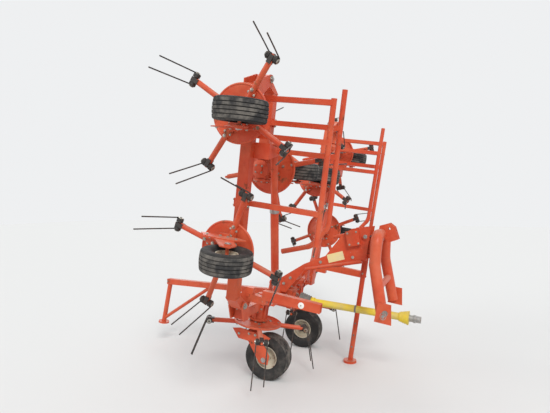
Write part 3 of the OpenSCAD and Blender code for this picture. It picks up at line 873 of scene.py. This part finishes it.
class TEDDER_OT_pins(bpy.types.Operator):
    """Adds washers, clips and grease points to the fold pins and link pins"""
    bl_idname = "tedder.pins"
    bl_label = "Pins"
    washer = [(0.027, 0), (0.027, 0.004), (PIN_R + 0.0003, 0.004)]
    cotter, cotter_r = [(0, -0.026, 0.0095), (0, 0.026, 0.0095)], 0.0035
    clip_out, clip_pin_r, clip_wire_r = 0.088, 0.0045, 0.0025
    clip_ring = (0.024, 0.030)
    nipple_profile = [(0.006, 0), (0.006, 0.006), (0.0035, 0.007), (0.0035, 0.012)]

    def execute(self, context):
        for tag, side in SIDES.items():
            wing, tip = "wing_" + tag, "tip_" + tag
            self.cross_pin("fold_pin_" + tag, MACHINE, side * FOLD_PIN[0], FOLD_PIN[1], "frame")
            self.cross_pin("tip_pin_" + tag, station(tag + "2"), *TIP_PIN, wing)
            fold_y, tip_y = FOLD_PIN[0] - 1.5 * PITCH, TIP_PIN[0] - PITCH
            self.nipple("fold_nipple_" + tag, station(tag + "1"), fold_y, FOLD_PIN[1], wing)
            self.nipple("tip_nipple_" + tag, station(tag + "3"), tip_y, TIP_PIN[1], tip)
            self.link_clip("link_pin_clip_" + tag, side)
        return {"FINISHED"}

    def cross_pin(self, name, at, y, z, body):
        """Washers and cotters on both ends of a fold pin."""
        shape = Shape(name)
        for look, x in (("+x", EAR_FACE), ("-x", -EAR_FACE)):
            end = at @ facing(x, y, z, look)
            shape.turned(self.washer, "bolt_zinc", end, 28)
            shape.tube(self.cotter, self.cotter_r, "bolt_zinc", end, 8)
        shape.make(body)

    def nipple(self, name, at, y, z, body):
        """Grease nipple on the inner face of a fold knuckle."""
        shape = Shape(name)
        foot = at @ facing(0, y - KNUCKLE_R + NEAR, z, "-y")
        shape.turned(self.nipple_profile, "bolt_zinc", foot, 10)
        shape.make(body)

    def link_clip(self, name, side):
        """Linch pin through a lower link pin, and the collar at its foot."""
        x, z = LINK_PIN
        y = side * (LINK_SPAN / 2 + self.clip_out)
        wide, high = self.clip_ring
        shape = Shape(name)
        shape.tube([(x, y, z + 0.032), (x, y, z - 0.034)], self.clip_pin_r, "bolt_zinc")
        ring = [(x + wide * math.sin(a), y + side * 0.012, z + high * math.cos(a))
                for a in (math.radians(turn) for turn in range(-170, 171, 20))]
        shape.tube(ring, self.clip_wire_r, "bolt_zinc", sides=6)
        collar = MACHINE @ outward(x, LINK_SPAN / 2, z, side)
        shape.turned([(0.024, 0), (0.024, 0.006), (0.0142, 0.006)], "worn_steel", collar, 28)
        shape.make("headstock")


class TEDDER_OT_guard_clamps(bpy.types.Operator):
    """Adds the clamp plates that hold the guard arms to the beams, and the reflectors"""
    bl_idname = "tedder.guard_clamps"
    bl_label = "Guard Clamps"
    plate_half = 0.034
    back_t, back_half = 0.010, 0.040
    front_t, front_low, front_high = 0.012, -0.036, 0.006
    bolt_y, bolt_z, front_bolt_z, bolt_width = 0.022, 0.026, -0.018, 0.017
    # Reflector: ahead, outward and up
    reflector_at = (0.515, 0.920, 0.190)
    reflector = [(0.025, 0), (0.025, 0.004), (0.021, 0.006)]

    def execute(self, context):
        for tag, side in SIDES.items():
            for k, places in GUARD_ARMS_AT.items():
                name = tag + str(k)
                shape = Shape("guard_clamps_" + name)
                for y in places:
                    self.clamp(shape, station(name) @ Matrix.Translation((0, y, 0)))
                shape.make(parent_body(name))
            shape = Shape("guard_reflector_" + tag)
            face = MACHINE @ outward(*self.reflector_at, side)
            shape.turned(self.reflector, "reflector_white", face)
            shape.bolt(face @ Matrix.Translation((0, 0, 0.005)), 0.008, 0.003)
            shape.make("frame")
        return {"FINISHED"}

    def clamp(self, shape, at):
        """A back plate and a front foot on the beam, each with its bolts."""
        back = -BEAM_W / 2 - self.back_t
        front = BEAM_W / 2 + self.front_t
        half = self.plate_half
        shape.box((back, -half, -self.back_half), (-BEAM_W / 2, half, self.back_half), "frame_paint", at)
        shape.box((BEAM_W / 2, -half, self.front_low), (front, half, self.front_high), "frame_paint", at)
        for y in (-self.bolt_y, self.bolt_y):
            for z in (-self.bolt_z, self.bolt_z):
                shape.bolt(at @ facing(back, y, z, "-x"), self.bolt_width, 0.009)
            shape.bolt(at @ facing(front, y, self.front_bolt_z, "+x"), self.bolt_width, 0.009)


class TEDDER_OT_draft_details(bpy.types.Operator):
    """Adds the blank plate, cover bolts, pins, gearbox bolts and the stands' fittings"""
    bl_idname = "tedder.draft_details"
    bl_label = "Draft Frame Details"
    # Places are ahead, outward and up in the machine's frame
    plate_at = (0.540, -0.1118, 0.492)
    plate_lean = math.radians(24)
    plate_half = (0.080, 0.0012, 0.040)
    cover_at = (0.650, 0, 0.613)
    cover_lean = math.radians(19.5)
    cover_size = (0.120, 0.300, 0.143)
    cover_bolt_in = 0.018
    cheek_y = 0.111
    cheek_bolts = ((0.06, 0.13), (0.12, 0.20), (0.0, 0.10), (0.40, 0.415), (0.70, 0.52))
    boss_at = (0.790, 0.123, 0.733)
    boss_cap = [(0.019, 0), (0.019, 0.008), (0.016, 0.011)]
    swivel_top = (0.830, 0, 0.729)
    swivel_cap = [(0.036, 0), (0.036, 0.006), (0.016, 0.006), (0.016, 0.018)]
    jack_at = (0.770, 0.190)
    jack_rings_at = (0.310, 0.565)
    jack_ring = [(0.030, -0.006), (0.034, -0.006), (0.034, 0.006), (0.030, 0.006)]
    jack_pin_z = 0.340
    # Holes of the jack leg: thin dark discs, painted shade standing in for their shaded insides
    jack_hole = [(0.0085, 0), (0.0085, 0.0012)]
    jack_leg_face = 0.0238
    stand_pin_at = (-1.352, -0.170)
    shaft_out = (0.176, 0, -0.020)
    side_cover_at = (0.095, 0.085, -0.020)
    side_cover = [(0.050, 0), (0.050, 0.008), (0.044, 0.010)]
    plug_at = (0.100, 0, 0.090)

    def execute(self, context):
        shape = Shape("draft_details")
        half = self.plate_half
        shape.box([-size for size in half], half, "plate_pale", leaning(*self.plate_at, self.plate_lean))
        long, wide, high = self.cover_size
        edge = self.cover_bolt_in
        cover = leaning(*self.cover_at, self.cover_lean)
        for side in (-1, 1):
            for up in (edge, high - edge):
                for along in (edge, long - edge):
                    shape.bolt(cover @ outward(along, wide / 2, up, side), 0.013, 0.006)
            shape.turned(self.boss_cap, "worn_steel", MACHINE @ outward(*self.boss_at, side), 24)
            for ahead, up in self.cheek_bolts:
                shape.bolt(MACHINE @ outward(ahead, self.cheek_y, up, side), 0.021, 0.010)
        shape.turned(self.swivel_cap, "worn_steel", MACHINE @ facing(*self.swivel_top, "+z"), 28)
        shape.make("frame")
        self.stands()
        self.gearbox()
        return {"FINISHED"}

    def stands(self):
        """Rings, locking pin and painted-shade discs for the holes of the front jack, and the rear stand's
        pivot pin.
        """
        shape = Shape("jack_fittings")
        x, y = self.jack_at
        for z in self.jack_rings_at:
            shape.turned(self.jack_ring, "frame_paint", MACHINE @ Matrix.Translation((x, y, z)), 28)
        z, out, bent = self.jack_pin_z, y + 0.052, x + 0.004
        shape.tube([(x, y - 0.050, z), (x, out, z)], 0.008, "bolt_zinc")
        shape.tube([(x, out, z), (bent, out + 0.008, z - 0.020), (bent, out + 0.006, z - 0.050)], 0.004,
                   "bolt_zinc", sides=8)
        # Dark discs on the leg's face: painted shade where the holes are
        for i in range(4):
            shade_disc_at = MACHINE @ facing(x, y - self.jack_leg_face, -0.05 - 0.12 * i, "-y")
            shape.turned(self.jack_hole, "bell_grey", shade_disc_at, 16)
        x, z = self.stand_pin_at
        shape.tube([(x, -0.036, z), (x, 0.040, z)], 0.009, "bolt_zinc")
        shape.make("frame")

    def gearbox(self):
        """Bolts round the gearbox's outlet, its side covers and its filler plug."""
        shape = Shape("gearbox_fittings")
        shape.bolt_ring(MACHINE @ facing(*self.shaft_out, "+x"), 0.054, 6, 0.2, 0.015)
        for side in (-1, 1):
            face = MACHINE @ outward(*self.side_cover_at, side)
            shape.turned(self.side_cover, "casting_paint", face)
            shape.bolt_ring(face @ Matrix.Translation((0, 0, 0.008)), 0.041, 6, 0.5, 0.011)
        shape.bolt(MACHINE @ facing(*self.plug_at, "+z"), 0.026, 0.014)
        shape.make("frame")


class TEDDER_OT_cylinders(bpy.types.Operator):
    """Adds glands, ports and pipes to the fold cylinders"""
    bl_idname = "tedder.cylinders"
    bl_label = "Fold Cylinders"
    skin_r = BARREL_R + 0.0002
    gland = [(skin_r, -0.050), (0.040, -0.050), (0.040, -0.008), (0.038, -0.004), (skin_r, -0.004)]
    foot_ring = [(skin_r, 0.052), (0.039, 0.052), (0.039, 0.080), (skin_r, 0.080)]
    port = [(0.013, 0.030), (0.013, 0.046), (0.010, 0.048)]
    port_in = 0.110
    port_out = BARREL_LEN - 0.075
    # Pipe from port to port: distance from the middle line, and height
    pipe = ((0.046, port_in), (0.056, 0.112), (0.060, 0.130), (0.060, BARREL_LEN - 0.100),
            (0.056, BARREL_LEN - 0.078), (0.046, port_out))
    pipe_r = 0.006
    clips = (0.28, 0.50)
    clip_from, clip_to, clip_half = 0.032, 0.067, (0.010, 0.007)

    def execute(self, context):
        for tag, side in SIDES.items():
            at = cylinder_place(tag)
            inner = -side
            shape = Shape("cylinder_fittings_" + tag)
            shape.turned([(r, BARREL_LEN + z) for r, z in self.gland], "worn_steel", at, closed=True)
            shape.turned(self.foot_ring, "frame_paint", at, closed=True)
            for z in (self.port_in, self.port_out):
                shape.turned(self.port, "bolt_zinc", at @ outward(0, 0, z, inner), 6)
            shape.tube([(0, inner * out, z) for out, z in self.pipe], self.pipe_r, "tine_steel", at)
            low, high = sorted((inner * self.clip_from, inner * self.clip_to))
            half_x, half_z = self.clip_half
            for z in self.clips:
                shape.box((-half_x, low, z - half_z), (half_x, high, z + half_z), "frame_paint", at)
            shape.make("barrel_" + tag)
        return {"FINISHED"}


class TEDDER_OT_shaft(bpy.types.Operator):
    """Adds the guard's ribs and collars to the drive shaft"""
    bl_idname = "tedder.shaft"
    bl_label = "Drive Shaft"
    first_rib = 0.012
    # Ribs of a guard cone: count, step along it, radius at each end, and one rib's profile
    bell = (5, 0.021, 0.075, 0.048, [(0, 0), (0.0028, 0.003), (0.0028, 0.007), (-0.0014, 0.010)])
    cone = (4, 0.018, 0.042, 0.065, [(0, 0), (0.0028, 0.003), (0.0028, 0.006), (0.002, 0.009)])
    foot_collar = [(0.034, 0.112), (0.043, 0.116), (0.043, 0.146), (0.034, 0.150)]
    middle_ring = [(0.034, 0.545), (0.0365, 0.548), (0.0365, 0.560), (0.034, 0.563)]
    yoke_collar = [(0.0311, 1.085), (0.036, 1.088), (0.036, 1.110), (0.0311, 1.113)]

    def execute(self, context):
        shape = Shape("shaft_guard_ribs")
        self.ribs(shape, "bell_grey", self.bell, 0, BELL_LEN)
        shape.turned(self.foot_collar, "guard_yellow", SHAFT, 36)
        shape.turned(self.middle_ring, "bell_grey", SHAFT, 36)
        self.ribs(shape, "guard_yellow", self.cone, CONE_AT, CONE_LEN)
        shape.turned(self.yoke_collar, "worn_steel", SHAFT, closed=True)
        shape.make("frame")
        return {"FINISHED"}

    def ribs(self, shape, finish, row, foot, length):
        """Ribs round one cone of the guard."""
        count, step, foot_r, end_r, profile = row
        for i in range(count):
            z = self.first_rib + step * i
            r = foot_r + (end_r - foot_r) * z / length
            shape.turned([(r + out, foot + z + up) for out, up in profile], finish, SHAFT, 40)


class TEDDER_PT_looks(bpy.types.Panel):
    """Lists the pieces and their settings"""
    bl_idname = "TEDDER_PT_looks"
    bl_label = "Hay Tedder"
    bl_space_type = "VIEW_3D"
    bl_region_type = "UI"
    bl_category = "Hay Tedder"

    def draw(self, context):
        for operator in OPERATORS:
            self.layout.operator(operator.bl_idname)
        for name in ("tedder_finish", "tedder_stage"):
            group = getattr(context.scene, name)
            for prop in group.bl_rna.properties:
                if not prop.is_readonly and prop.identifier != "name":
                    self.layout.prop(group, prop.identifier)


GROUPS = {"tedder_finish": TedderFinish, "tedder_stage": TedderStage}
OPERATORS = (TEDDER_OT_stage, TEDDER_OT_frame_paint, TEDDER_OT_tyres, TEDDER_OT_wheels, TEDDER_OT_rotors,
             TEDDER_OT_fasteners, TEDDER_OT_pins, TEDDER_OT_guard_clamps, TEDDER_OT_draft_details,
             TEDDER_OT_cylinders, TEDDER_OT_shaft)


def register():
    for name, group in GROUPS.items():
        bpy.utils.register_class(group)
        setattr(bpy.types.Scene, name, bpy.props.PointerProperty(type=group))
    for made in (*OPERATORS, TEDDER_PT_looks):
        bpy.utils.register_class(made)


def unregister():
    for made in (TEDDER_PT_looks, *reversed(OPERATORS)):
        bpy.utils.unregister_class(made)
    for name, group in GROUPS.items():
        delattr(bpy.types.Scene, name)
        bpy.utils.unregister_class(group)


def main():
    register()
    for operator in OPERATORS:
        group, name = operator.bl_idname.split(".")
        getattr(getattr(bpy.ops, group), name)()
    bpy.context.view_layer.update()


if __name__ == "__main__":
    main()
